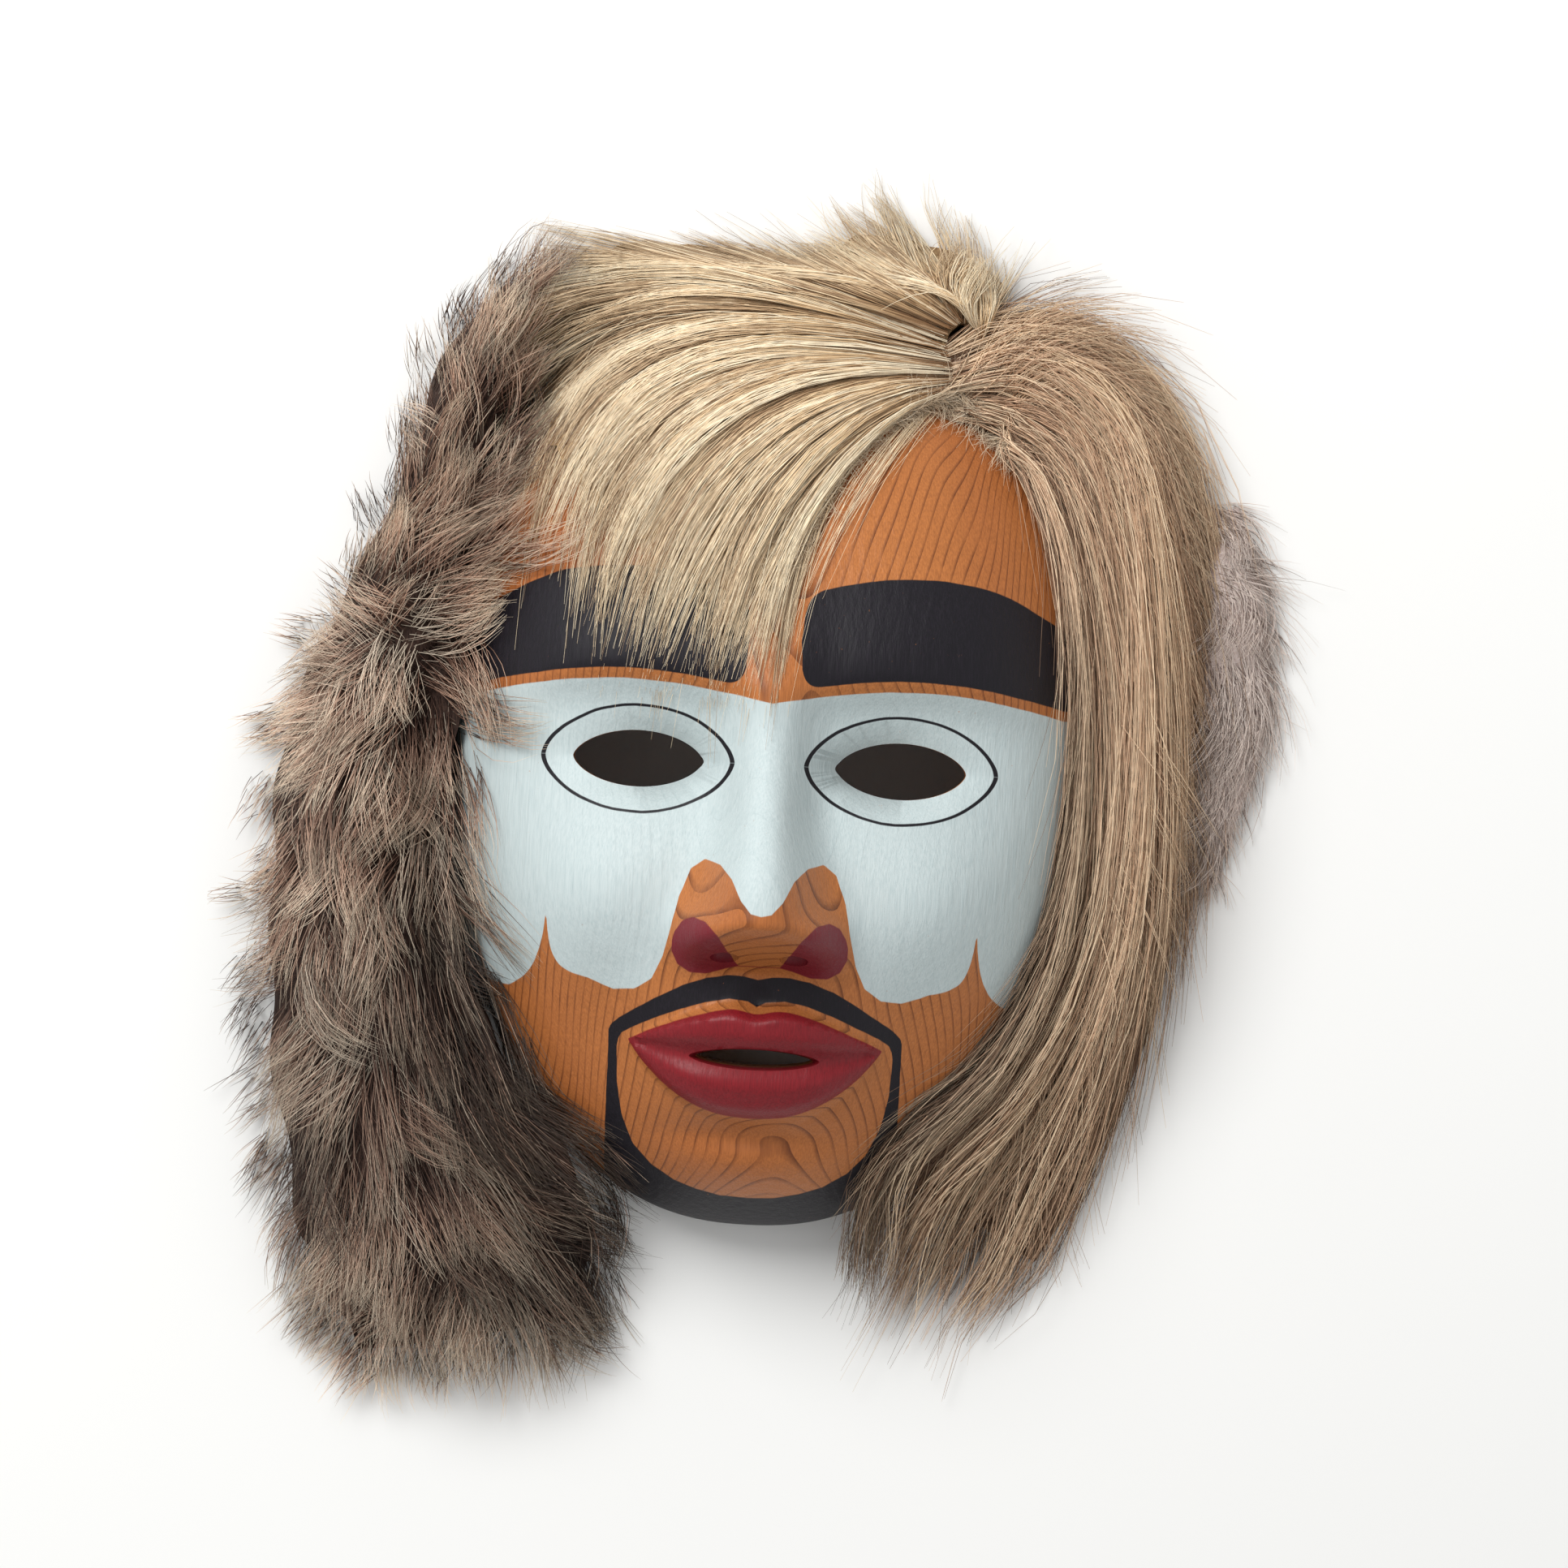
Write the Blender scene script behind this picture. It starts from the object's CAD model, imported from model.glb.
import math

import bmesh
import bpy
import numpy as np
from mathutils import Matrix, Vector
from mathutils.bvhtree import BVHTree


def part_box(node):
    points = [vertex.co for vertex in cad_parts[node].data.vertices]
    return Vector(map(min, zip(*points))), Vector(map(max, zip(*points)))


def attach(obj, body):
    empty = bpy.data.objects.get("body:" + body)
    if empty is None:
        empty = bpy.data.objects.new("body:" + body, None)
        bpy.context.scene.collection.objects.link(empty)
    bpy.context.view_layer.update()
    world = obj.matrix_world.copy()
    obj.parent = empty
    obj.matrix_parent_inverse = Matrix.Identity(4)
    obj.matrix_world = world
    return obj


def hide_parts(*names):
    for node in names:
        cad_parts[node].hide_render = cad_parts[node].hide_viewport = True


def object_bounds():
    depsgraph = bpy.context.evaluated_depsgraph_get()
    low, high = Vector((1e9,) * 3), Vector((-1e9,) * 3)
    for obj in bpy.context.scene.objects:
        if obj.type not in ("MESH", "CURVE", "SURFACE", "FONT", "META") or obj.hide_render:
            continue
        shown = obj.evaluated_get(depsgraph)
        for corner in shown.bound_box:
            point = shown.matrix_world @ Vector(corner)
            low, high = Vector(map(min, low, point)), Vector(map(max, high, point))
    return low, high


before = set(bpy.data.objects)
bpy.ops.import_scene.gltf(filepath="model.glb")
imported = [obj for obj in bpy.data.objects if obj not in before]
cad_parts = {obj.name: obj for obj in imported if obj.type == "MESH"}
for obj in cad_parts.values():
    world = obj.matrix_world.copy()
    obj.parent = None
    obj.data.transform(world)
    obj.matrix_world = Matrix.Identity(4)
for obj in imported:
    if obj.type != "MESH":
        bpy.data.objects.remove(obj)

cadBox = [list(corner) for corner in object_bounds()]
maskLow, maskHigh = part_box("carved_mask")
# middle of the carved mask in plan; every shape below is drawn around it
centre = np.array(((maskLow.x + maskHigh.x) / 2, (maskLow.y + maskHigh.y) / 2, 0.0))
print("frame loaded, mask centred at", centre.round(4))


# shared helpers
def smoothStep(low, high, value):
    share = np.clip((value - low) / (high - low), 0.0, 1.0)
    return share * share * (3.0 - 2.0 * share)


def inRange(pair, share):
    return pair[0] + (pair[1] - pair[0]) * share


def mound(x, y, middleX, middleY, reachX, reachY):
    return np.exp(-((x - middleX) / reachX) ** 2 - ((y - middleY) / reachY) ** 2)


def srgb(red, green, blue):
    # a colour picked by eye, 0 to 255, as the shader wants it
    return [((part / 255 + 0.055) / 1.055) ** 2.4 for part in (red, green, blue)] + [1.0]


def addNode(tree, kind, inputs=None, **settings):
    item = tree.nodes.new(kind)
    for name, value in settings.items():
        setattr(item, name, value)
    for name, value in (inputs or {}).items():
        if isinstance(value, bpy.types.NodeSocket):
            tree.links.new(value, item.inputs[name])
        else:
            item.inputs[name].default_value = value
    return item


def calc(tree, operation, first, second=0.0):
    return addNode(tree, "ShaderNodeMath", {0: first, 1: second}, operation=operation).outputs[0]


def plus(tree, first, second):
    return calc(tree, "ADD", first, second)


def minus(tree, first, second):
    return calc(tree, "SUBTRACT", first, second)


def times(tree, first, second):
    return calc(tree, "MULTIPLY", first, second)


def vectorSum(tree, operation, first, second):
    inputs = {0: first, "Scale" if operation == "SCALE" else 1: second}
    return addNode(tree, "ShaderNodeVectorMath", inputs, operation=operation).outputs[0]


def fade(tree, value, low, high, start=0.0, end=1.0):
    # value between low and high becomes start to end, held outside
    inputs = {"Value": value, "From Min": low, "From Max": high, "To Min": start, "To Max": end}
    return addNode(tree, "ShaderNodeMapRange", inputs).outputs[0]


def blend(tree, share, under, over, mode="MIX"):
    item = addNode(tree, "ShaderNodeMix", data_type="RGBA", blend_type=mode, clamp_factor=True)
    for index, value in ((0, share), (6, under), (7, over)):
        if isinstance(value, bpy.types.NodeSocket):
            tree.links.new(value, item.inputs[index])
        else:
            item.inputs[index].default_value = value
    return item.outputs[2]


def colourStops(tree, value, stops):
    item = addNode(tree, "ShaderNodeValToRGB", {0: value})
    ramp = item.color_ramp
    while len(ramp.elements) < len(stops):
        ramp.elements.new(0.5)
    for element, (place, colour) in zip(ramp.elements, stops):
        element.position = place
        element.color = colour
    return item.outputs[0]


def noise(tree, place, scale, detail=2.0, rough=0.5, stretch=(1, 1, 1)):
    if stretch != (1, 1, 1):
        place = addNode(tree, "ShaderNodeMapping", {"Vector": place, "Scale": stretch}).outputs[0]
    inputs = {"Vector": place, "Scale": scale, "Detail": detail, "Roughness": rough}
    return addNode(tree, "ShaderNodeTexNoise", inputs).outputs[0]


def newMaterial(name):
    material = bpy.data.materials.new(name)
    material.use_nodes = True
    tree = material.node_tree
    return material, tree, tree.nodes["Principled BSDF"]


def millimetres(tree):
    # object coordinates as millimetres from the mask's middle
    place = addNode(tree, "ShaderNodeTexCoord").outputs["Object"]
    shift = tuple(-1000 * value for value in centre)
    inputs = {"Vector": place, "Scale": (1000, 1000, 1000), "Location": shift}
    return addNode(tree, "ShaderNodeMapping", inputs).outputs[0]


def addBump(tree, shader, height, reach, strength=1.0, under=None):
    inputs = {"Height": height, "Distance": reach, "Strength": strength}
    if under is not None:
        inputs["Normal"] = under
    normal = addNode(tree, "ShaderNodeBump", inputs).outputs[0]
    tree.links.new(normal, shader.inputs["Normal"])
    return normal


def meshObject(name, points, faces):
    mesh = bpy.data.meshes.new(name)
    mesh.from_pydata(points.tolist(), [], faces)
    mesh.update()
    item = bpy.data.objects.new(name, mesh)
    bpy.context.scene.collection.objects.link(item)
    return item


def gridFaces(rows, columns, start=0, flip=False):
    index = np.arange(rows * columns).reshape(rows, columns) + start
    corners = (index[:-1, :-1], index[:-1, 1:], index[1:, 1:], index[1:, :-1])
    quads = np.stack(corners, axis=-1).reshape(-1, 4)
    return (quads[:, ::-1] if flip else quads).tolist()


def rimLoop(rows, columns):
    # the grid's outer points in order, once round
    index = np.arange(rows * columns).reshape(rows, columns)
    return np.concatenate((index[0, :-1], index[:-1, -1], index[-1, :0:-1], index[:0:-1, 0]))


def closedSlab(name, top, bottom):
    # two grids of the same plan, joined round the edge
    rows, columns = top.shape[:2]
    points = np.concatenate((top.reshape(-1, 3), bottom.reshape(-1, 3)))
    faces = gridFaces(rows, columns) + gridFaces(rows, columns, rows * columns, flip=True)
    rim = rimLoop(rows, columns).tolist()
    shift = rows * columns
    for here, after in zip(rim, rim[1:] + rim[:1]):
        faces.append((after, here, here + shift, after + shift))
    return meshObject(name, points, faces)


def signedVolume(mesh):
    shape = bmesh.new()
    shape.from_mesh(mesh)
    volume = shape.calc_volume(signed=True)
    shape.free()
    return volume


def faceOutwards(mesh):
    if signedVolume(mesh) < 0:
        mesh.flip_normals()


def plainCopy(item):
    # the evaluated shape as an ordinary mesh, modifiers dropped
    graph = bpy.context.evaluated_depsgraph_get()
    mesh = bpy.data.meshes.new_from_object(item.evaluated_get(graph))
    item.modifiers.clear()
    item.data = mesh
    return item


def settle(item, node, slotName):
    faceOutwards(item.data)
    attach(item, "root")
    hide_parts(node)
    volume = round(signedVolume(item.data) * 1e6, 1)
    print(item.name, len(item.data.polygons), "faces,", volume, "ml")


# carved mask: the same form as the solid, cut finely
carving = {
    "width": 0.190, "height": 0.266, "depth": 0.078, "rimEdge": 0.012, "wall": 0.009,
    "eggTaper": 0.13, "outlineRound": 2.35, "domeRound": 2.7, "domeShoulder": 1.75,
    "noseRise": 0.031, "bridgeRise": 0.008, "noseHollowRise": 0.020,
    "eyeOpening": (0.038, 0.0165), "eyeRim": (0.054, 0.030), "eyeBevel": 0.0055,
    "mouthOpening": (0.034, 0.0050), "mouthRim": (0.038, 0.0064), "mouthBevel": 0.006,
    "nostril": 0.0042, "lipRise": 0.0065,
    "browLine": 0.215, "eyeLine": 0.045, "noseBase": -0.395, "mouthLine": -0.600, "chinLine": -0.87,
    "eyeAside": 0.405, "lipHalfWidth": 0.39, "upperLip": 0.120, "lowerLip": 0.130, "browRise": 0.077,
    # place and reach as shares of the half width and half height
    "noseWing": (0.178, 0.060, 0.078, 0.058), "noseFlank": (0.0, 0.14, 0.27, 0.15),
    "nostrilPlace": (0.105, 0.020), "scoopWidth": 0.0052, "scoopLength": 0.019, "scoopDepth": 0.00018,
    "paintFloor": 0.0015, "faceGrid": (192, 260), "hollowGrid": (56, 72), "ringPoints": 96,
    "crease": math.radians(38),
}
halfWidth = carving["width"] / 2
halfHeight = carving["height"] / 2


def discShare(x, y, inset=0.0):
    power = carving["outlineRound"]
    up = y / (halfHeight - inset)
    taper = 1.0 + carving["eggTaper"] * np.clip(up, -1.0, 1.0)
    out = np.abs(x / ((halfWidth - inset) * taper))
    return (out ** power + np.abs(up) ** power) ** (1.0 / power)


def dome(share):
    return (1.0 - np.minimum(share, 1.0) ** carving["domeRound"]) ** (1.0 / carving["domeShoulder"])


def nose(x, y, rise, bridge):
    w, h = halfWidth, halfHeight
    base = carving["noseBase"] * h
    tip = base + 0.095 * h
    top = carving["browLine"] * h
    down = (top - y) / (top - tip)
    rising = bridge + (rise - bridge) * smoothStep(-0.10, 1.05, down)
    rising = rising * smoothStep(-0.75, 0.30, down)
    under = smoothStep(base - 0.022 * h, tip + 0.005 * h, y)
    reach = (0.150 - 0.035 * smoothStep(-0.5, 0.3, down) + 0.055 * smoothStep(0.5, 1.0, down)) * w
    ridge = rising * under * np.exp(-(np.abs(x) / reach) ** 2.6)
    wing, flank = (
        mound(across, y, form[0] * w, base + form[1] * h, form[2] * w, form[3] * h)
        for across, form in ((np.abs(x), carving["noseWing"]), (x, carving["noseFlank"])))
    return ridge + rise * (0.36 * wing + 0.15 * flank)


def lipEdges(x):
    side = np.minimum(np.abs(x) / (carving["lipHalfWidth"] * halfWidth), 1.0)
    bow = 0.016 * halfHeight * np.exp(-(x / (0.055 * halfWidth)) ** 2)
    upper = carving["upperLip"] * halfHeight * (1.0 - side ** 1.7) - bow + 1e-4
    lower = carving["lowerLip"] * halfHeight * (1.0 - side ** 2.3) ** 0.9 + 1e-4
    line = (carving["mouthLine"] + 0.030 * side * side) * halfHeight
    return upper, lower, line, side


def lips(x, y):
    upper, lower, line, side = lipEdges(x)
    share = np.where(y > line, (y - line) / upper, (line - y) / lower)
    swell = 0.30 + 0.70 * smoothStep(0.0, 0.55, share)
    fall = 1.0 - smoothStep(0.80, 1.20, share)
    ends = (0.35 + 0.65 * smoothStep(0.0, 0.6, 1.0 - side)) * smoothStep(0.0, 0.06, 1.0 - side)
    return swell * fall * ends


def faceRelief(x, y):
    aside = np.abs(x)
    w, h, d = halfWidth, halfHeight, carving["depth"]
    eyeX, eyeY = carving["eyeAside"] * w, carving["eyeLine"] * h
    arch = (carving["browLine"] + 0.045 * np.sin(np.pi * np.minimum(aside / (0.86 * w), 1.0))) * h
    above = np.exp(-((y - arch) / (0.20 * h)) ** 2)
    below = np.exp(-((y - arch) / (0.065 * h)) ** 2)
    brow = np.where(y > arch, above, below) * (1.0 - smoothStep(0.62, 1.0, aside / w))
    relief = carving["browRise"] * d * brow * (0.45 + 0.55 * smoothStep(0.0, 0.28, aside / w))
    forms = (
        (-0.147, aside, eyeX * 0.94, eyeY + 0.01 * h, 0.29, 0.125),  # sockets
        (0.090, aside, eyeX, eyeY - 0.01 * h, 0.22, 0.095),  # lids
        (0.090, aside, 0.52 * w, -0.27 * h, 0.24, 0.16),  # cheeks
        (-0.058, aside, 0.47 * w, -0.58 * h, 0.14, 0.18),  # hollows beside the mouth
        (0.109, x, 0.0, (carving["mouthLine"] + 0.01) * h, 0.36, 0.20),  # mouth
        (-0.051, x, 0.0, -0.775 * h, 0.22, 0.035),  # crease over the chin
        (0.103, x, 0.0, carving["chinLine"] * h, 0.25, 0.09),  # chin
        (-0.023, x, 0.0, -0.465 * h, 0.04, 0.04),  # groove under the nose
    )
    for rise, across, middleX, middleY, reachX, reachY in forms:
        relief = relief + rise * d * mound(across, y, middleX, middleY, reachX * w, reachY * h)
    relief = relief + carving["lipRise"] * lips(x, y)
    return relief * (1.0 - np.minimum(discShare(x, y), 1.0) ** 8)


def faceHeight(x, y):
    rise = carving["depth"] - carving["rimEdge"]
    height = carving["rimEdge"] + rise * dome(discShare(x, y))
    return height + nose(x, y, carving["noseRise"], carving["bridgeRise"]) + faceRelief(x, y)


def hollowHeight(x, y):
    rise = carving["depth"] - carving["rimEdge"] - carving["wall"]
    height = carving["rimEdge"] + rise * dome(discShare(x, y, carving["wall"]))
    height = height + nose(x * 0.8, y, carving["noseHollowRise"], 0.3 * carving["bridgeRise"])
    eyeX, eyeY = carving["eyeAside"] * halfWidth, carving["eyeLine"] * halfHeight
    socket = mound(np.abs(x), y, eyeX, eyeY, 0.3 * halfWidth, 0.15 * halfHeight)
    return height - carving["browRise"] * carving["depth"] * socket


def discPlan(s, t, inset=0.0):
    # a square grid's points spread over the egg-shaped outline
    power = carving["outlineRound"]
    discX = s * np.sqrt(1.0 - t * t / 2.0)
    discY = t * np.sqrt(1.0 - s * s / 2.0)
    share = np.maximum(np.hypot(discX, discY), 1e-6)
    crowd = 0.72 + 0.28 * np.sin(share * np.pi / 2.0) / share
    rounded = np.abs(discX) ** power + np.abs(discY) ** power
    crowd = crowd * share / np.maximum(rounded, 1e-12) ** (1.0 / power)
    up = discY * crowd
    x = discX * crowd * (1.0 + carving["eggTaper"] * up) * (halfWidth - inset)
    return x, up * (halfHeight - inset)


def knifeWork(x, y):
    # shallow scoops left by the crooked knife, running down the face
    across, down = x / carving["scoopWidth"], y / carving["scoopLength"]
    bent = across + 0.35 * np.sin(down * 1.7) + 0.3 * np.sin(down * 0.6 + across)
    facets = np.abs((bent % 1.0) - 0.5)
    stroke = 0.5 + 0.5 * np.sin(down * 2.1 + np.floor(across) * 2.4)
    return -carving["scoopDepth"] * (0.5 - facets) * (0.5 + 0.5 * stroke)


def knifedHeight(x, y):
    return faceHeight(x, y) + knifeWork(x, y)


def block(name, grid, height, inset, floor):
    # a solid under a height, with an egg-shaped plan and a flat foot
    columns, rows = grid
    s, t = np.meshgrid(np.linspace(-1, 1, columns + 1), np.linspace(-1, 1, rows + 1))
    x, y = discPlan(s, t, inset)
    top = np.stack((x, y, height(x, y)), axis=-1).reshape(-1, 3)
    rim = rimLoop(rows + 1, columns + 1)
    foot = top[rim].copy()
    foot[:, 2] = floor
    faces = gridFaces(rows + 1, columns + 1)
    count = len(top)
    for here in range(len(rim)):
        after = (here + 1) % len(rim)
        faces.append((int(rim[after]), int(rim[here]), count + here, count + after))
    faces.append([count + here for here in reversed(range(len(rim)))])
    return meshObject(name, np.concatenate((top, foot)), faces)


def lensRing(middle, size, height):
    turn = 2.0 * np.pi * np.arange(carving["ringPoints"]) / carving["ringPoints"]
    x = middle[0] + np.cos(turn) * size[0] / 2.0
    y = middle[1] + np.sign(np.sin(turn)) * np.abs(np.sin(turn)) ** 1.25 * size[1] / 2.0
    return np.stack((x, y, height(x, y)), axis=-1)


def openingCutter(name, middle, rim, opening, bevel):
    # wide at the face, bevelled down to the opening and then straight through the wall
    floorHeight = faceHeight(*middle) - bevel

    def sunkHeight(x, y):
        return np.minimum(floorHeight, faceHeight(x, y) - bevel / 2)

    outer, inner = lensRing(middle, rim, faceHeight), lensRing(middle, opening, sunkHeight)
    above, through = outer.copy(), inner.copy()
    above[:, 2] = carving["depth"] + carving["noseRise"]
    through[:, 2] = -carving["rimEdge"]
    count = len(outer)
    faces = []
    for upper in range(0, 3 * count, count):
        lower = upper + count
        for here in range(count):
            after = (here + 1) % count
            faces.append((lower + here, lower + after, upper + after, upper + here))
    faces += [list(range(count)), [3 * count + here for here in reversed(range(count))]]
    return meshObject(name, np.concatenate((above, outer, inner, through)), faces)


# paint: each edge is drawn as its height at each distance from the middle line, in mm
paint = {
    "cedar": srgb(172, 101, 52), "cedarLight": srgb(192, 122, 66), "cedarDark": srgb(88, 42, 20),
    "pale": srgb(189, 200, 200), "paleShade": srgb(156, 174, 176),
    "black": srgb(17, 14, 21), "blackWorn": srgb(34, 27, 38),
    "red": srgb(128, 26, 34), "redDark": srgb(84, 12, 20), "maroon": srgb(112, 24, 36),
    "bare": srgb(178, 116, 66), "bareLight": srgb(196, 136, 84), "bareDark": srgb(122, 68, 34),
    "bareFibre": srgb(110, 66, 38),
    "soft": 0.16, "wobble": 0.7, "eyeLine": (1.5, 0.9), "eyeLineInner": (0.15, 0.1), "curvePoints": 221,
    "ringsPerMm": 0.52, "ringAxis": (-6.0, 0.0, 14.0), "ringSquash": (1.0, 1.0, 0.34),
    "ringPush": (26.0, 14.0),
    "widest": 110.0, "lowest": -160.0, "tallest": 320.0, "overAll": 100.0, "underAll": -140.0,
    "browFoot": 26.5, "browArch": 5.5, "browThick": 27, "browInnerEnd": 7.5, "browGap": 3.0,
    "paleFoot": ((0, -37), (3, -36.4), (6, -33), (9, -27), (12.5, -23.3), (17, -22), (21, -25), (24, -33),
                 (26, -43), (28, -51), (31, -57.5), (36, -61), (42, -61.5), (50, -59), (57, -58.5),
                 (64, -59.5), (74, -63.5), (80, -62.5), (88, -57), (110, -48)),
    "bandTop": ((0, -56.2), (4, -55.4), (9, -55.2), (15, -56.2), (22, -58.9), (30, -63.4), (36, -67.2),
                (40, -69.8), (42.4, -72), (43.4, -75)),
    "bandInnerTop": ((0, -64), (2.5, -62.6), (8, -62), (15, -63.4), (22, -65.9), (30, -69.4), (36, -72.3),
                     (39, -74.2), (40.2, -76.5), (40.5, -79)),
    "bandInnerFoot": ((0, -122.5), (8, -122), (15, -120.5), (22, -118), (29, -113.5), (34.5, -107.5),
                      (38.2, -99), (40, -89), (40.5, -79)),
    "nostrilTop": ((6, -52.2), (8.5, -48.8), (12, -43.5), (16, -39.6), (19.5, -38.6), (22.5, -40),
                   (24.8, -43.5), (25.8, -48)),
    "nostrilFoot": ((6, -52.4), (10, -53.4), (15, -55), (20, -55), (23.5, -53), (25.8, -48.2)),
}
lipWidth = carving["lipHalfWidth"] * halfWidth * 1000


def browUnder(aside):
    return paint["browFoot"] + paint["browArch"] * np.sin(np.pi * np.minimum(aside / 86, 1))


def paleTop(aside):
    return browUnder(aside) - paint["browGap"]


def browEdge(aside, side):
    # a thick band with a rounded inner end, side +1 for its top edge
    swell = 3 * np.sin(np.pi * np.minimum(aside / 90, 1))
    thick = paint["browThick"] + swell - 5 * smoothStep(60, 95, aside)
    middle = browUnder(aside) + thick / 2
    inner = np.clip((aside - paint["browInnerEnd"]) / 7, 0, 1)
    half = thick / 2 * (1 - (1 - inner) ** 2.8) ** (1 / 2.8)
    return middle + side * np.where(aside > paint["browInnerEnd"], half, -2)


def lipEdge(aside, side):
    # lips in mm, side +1 for the top edge; crossed over past their corners, so that nothing is painted there
    upper, lower, line = lipEdges(aside / 1000)[:3]
    height = line + upper if side > 0 else line - lower
    return np.where(aside < lipWidth, 1000 * height, -120 if side > 0 else 100)


def knotHeight(aside, name):
    return np.interp(aside, *zip(*paint[name]))


def paleFoot(aside):
    # the pale upper face's lower edge, with a thin flame of it left bare
    return knotHeight(aside, "paleFoot") + 20 * np.exp(-(np.abs(aside - 63) / 2.2) ** 0.8)


def knotEdge(aside, name):
    # straight runs between knots, dropped out of the way past the last one
    beyond = paint["overAll"] if name.endswith("Foot") else paint["underAll"]
    return np.where(aside <= paint[name][-1][0], knotHeight(aside, name), beyond)


def edgeCurve(tree, aside, height, *drawn):
    widest, lowest, tallest = paint["widest"], paint["lowest"], paint["tallest"]
    item = addNode(tree, "ShaderNodeFloatCurve", {"Value": calc(tree, "DIVIDE", aside, widest)})
    mapping = item.mapping
    mapping.use_clip = False
    curve = mapping.curves[0]
    places = np.linspace(0, widest, paint["curvePoints"])
    shares = (height(places, *drawn) - lowest) / tallest
    curve.points[0].location = (0.0, float(shares[0]))
    curve.points[1].location = (1.0, float(shares[-1]))
    for place, share in zip(places[1:-1], shares[1:-1]):
        curve.points.new(float(place / widest), float(share))
    for point in curve.points:
        point.handle_type = "VECTOR"
    mapping.update()
    return minus(tree, times(tree, item.outputs[0], tallest), -lowest)


def between(tree, y, low, high):
    # 1 where y lies over the low edge and under the high one
    over = fade(tree, minus(tree, y, low), -paint["soft"], paint["soft"])
    under = fade(tree, minus(tree, high, y), -paint["soft"], paint["soft"])
    return times(tree, over, under)


def lensShare(tree, aside, y, grow):
    # 1 inside the almond round the eye, grown by so much aside and up
    halfLong = carving["eyeRim"][0] * 500 + grow[0]
    halfTall = carving["eyeRim"][1] * 500 + grow[1]
    eyeX, eyeY = carving["eyeAside"] * halfWidth * 1000, carving["eyeLine"] * halfHeight * 1000
    along = calc(tree, "DIVIDE", minus(tree, aside, eyeX), halfLong)
    left = calc(tree, "MAXIMUM", minus(tree, 1.0, times(tree, along, along)), 0.0)
    tall = times(tree, calc(tree, "POWER", left, 0.625), halfTall)
    off = calc(tree, "ABSOLUTE", minus(tree, y, eyeY))
    return fade(tree, minus(tree, tall, off), -0.12, 0.12)


def cedarGrain(tree, place):
    # growth rings about an axis behind the face, cut open by the carving
    warp = noise(tree, place, 0.012, 2.0, 0.5, (1.0, 0.25, 1.0))
    swing = minus(tree, warp, 0.5)
    sideways, deep = (times(tree, swing, reach) for reach in paint["ringPush"])
    push = addNode(tree, "ShaderNodeCombineXYZ", {0: sideways, 2: deep}).outputs[0]
    inputs = {"Vector": place, "Location": paint["ringAxis"], "Scale": paint["ringSquash"]}
    shifted = addNode(tree, "ShaderNodeMapping", inputs).outputs[0]
    inputs = {"Vector": vectorSum(tree, "ADD", shifted, push), "Scale": paint["ringsPerMm"] * 0.3142,
              "Distortion": 0.7, "Detail": 1.5, "Detail Scale": 0.12, "Detail Roughness": 0.5}
    settings = {"wave_type": "RINGS", "rings_direction": "Y", "wave_profile": "SAW"}
    rings = addNode(tree, "ShaderNodeTexWave", inputs, **settings).outputs["Fac"]
    fibre = noise(tree, place, 2.4, 3.0, 0.6, (1.0, 0.035, 1.0))
    return rings, fibre, warp


def handDrawn(tree, place):
    # the brush wanders a little off each edge; gives distance from the middle line and height
    inputs = {"Vector": place, "Scale": 0.09, "Detail": 3.0}
    wander = addNode(tree, "ShaderNodeTexNoise", inputs).outputs["Color"]
    wander = vectorSum(tree, "SUBTRACT", wander, (0.5, 0.5, 0.5))
    wander = vectorSum(tree, "SCALE", wander, paint["wobble"])
    parts = addNode(tree, "ShaderNodeSeparateXYZ", {0: vectorSum(tree, "ADD", place, wander)}).outputs
    return calc(tree, "ABSOLUTE", parts[0]), parts[1]


def paintedAreas(tree, place):
    aside, y = handDrawn(tree, place)

    def edge(height, *drawn):
        return edgeCurve(tree, aside, height, *drawn)

    outer = between(tree, y, -150.0, edge(knotEdge, "bandTop"))
    inner = between(tree, y, edge(knotEdge, "bandInnerFoot"), edge(knotEdge, "bandInnerTop"))
    almond = lensShare(tree, aside, y, paint["eyeLineInner"])
    return {
        "pale": between(tree, y, edge(paleFoot), edge(paleTop)),
        "brow": between(tree, y, edge(browEdge, -1), edge(browEdge, 1)),
        "nostril": between(tree, y, edge(knotEdge, "nostrilFoot"), edge(knotEdge, "nostrilTop")),
        "band": times(tree, outer, minus(tree, 1.0, inner)),
        "lips": between(tree, y, edge(lipEdge, -1), edge(lipEdge, 1)),
        "eyeLine": minus(tree, lensShare(tree, aside, y, paint["eyeLine"]), almond),
    }


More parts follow.
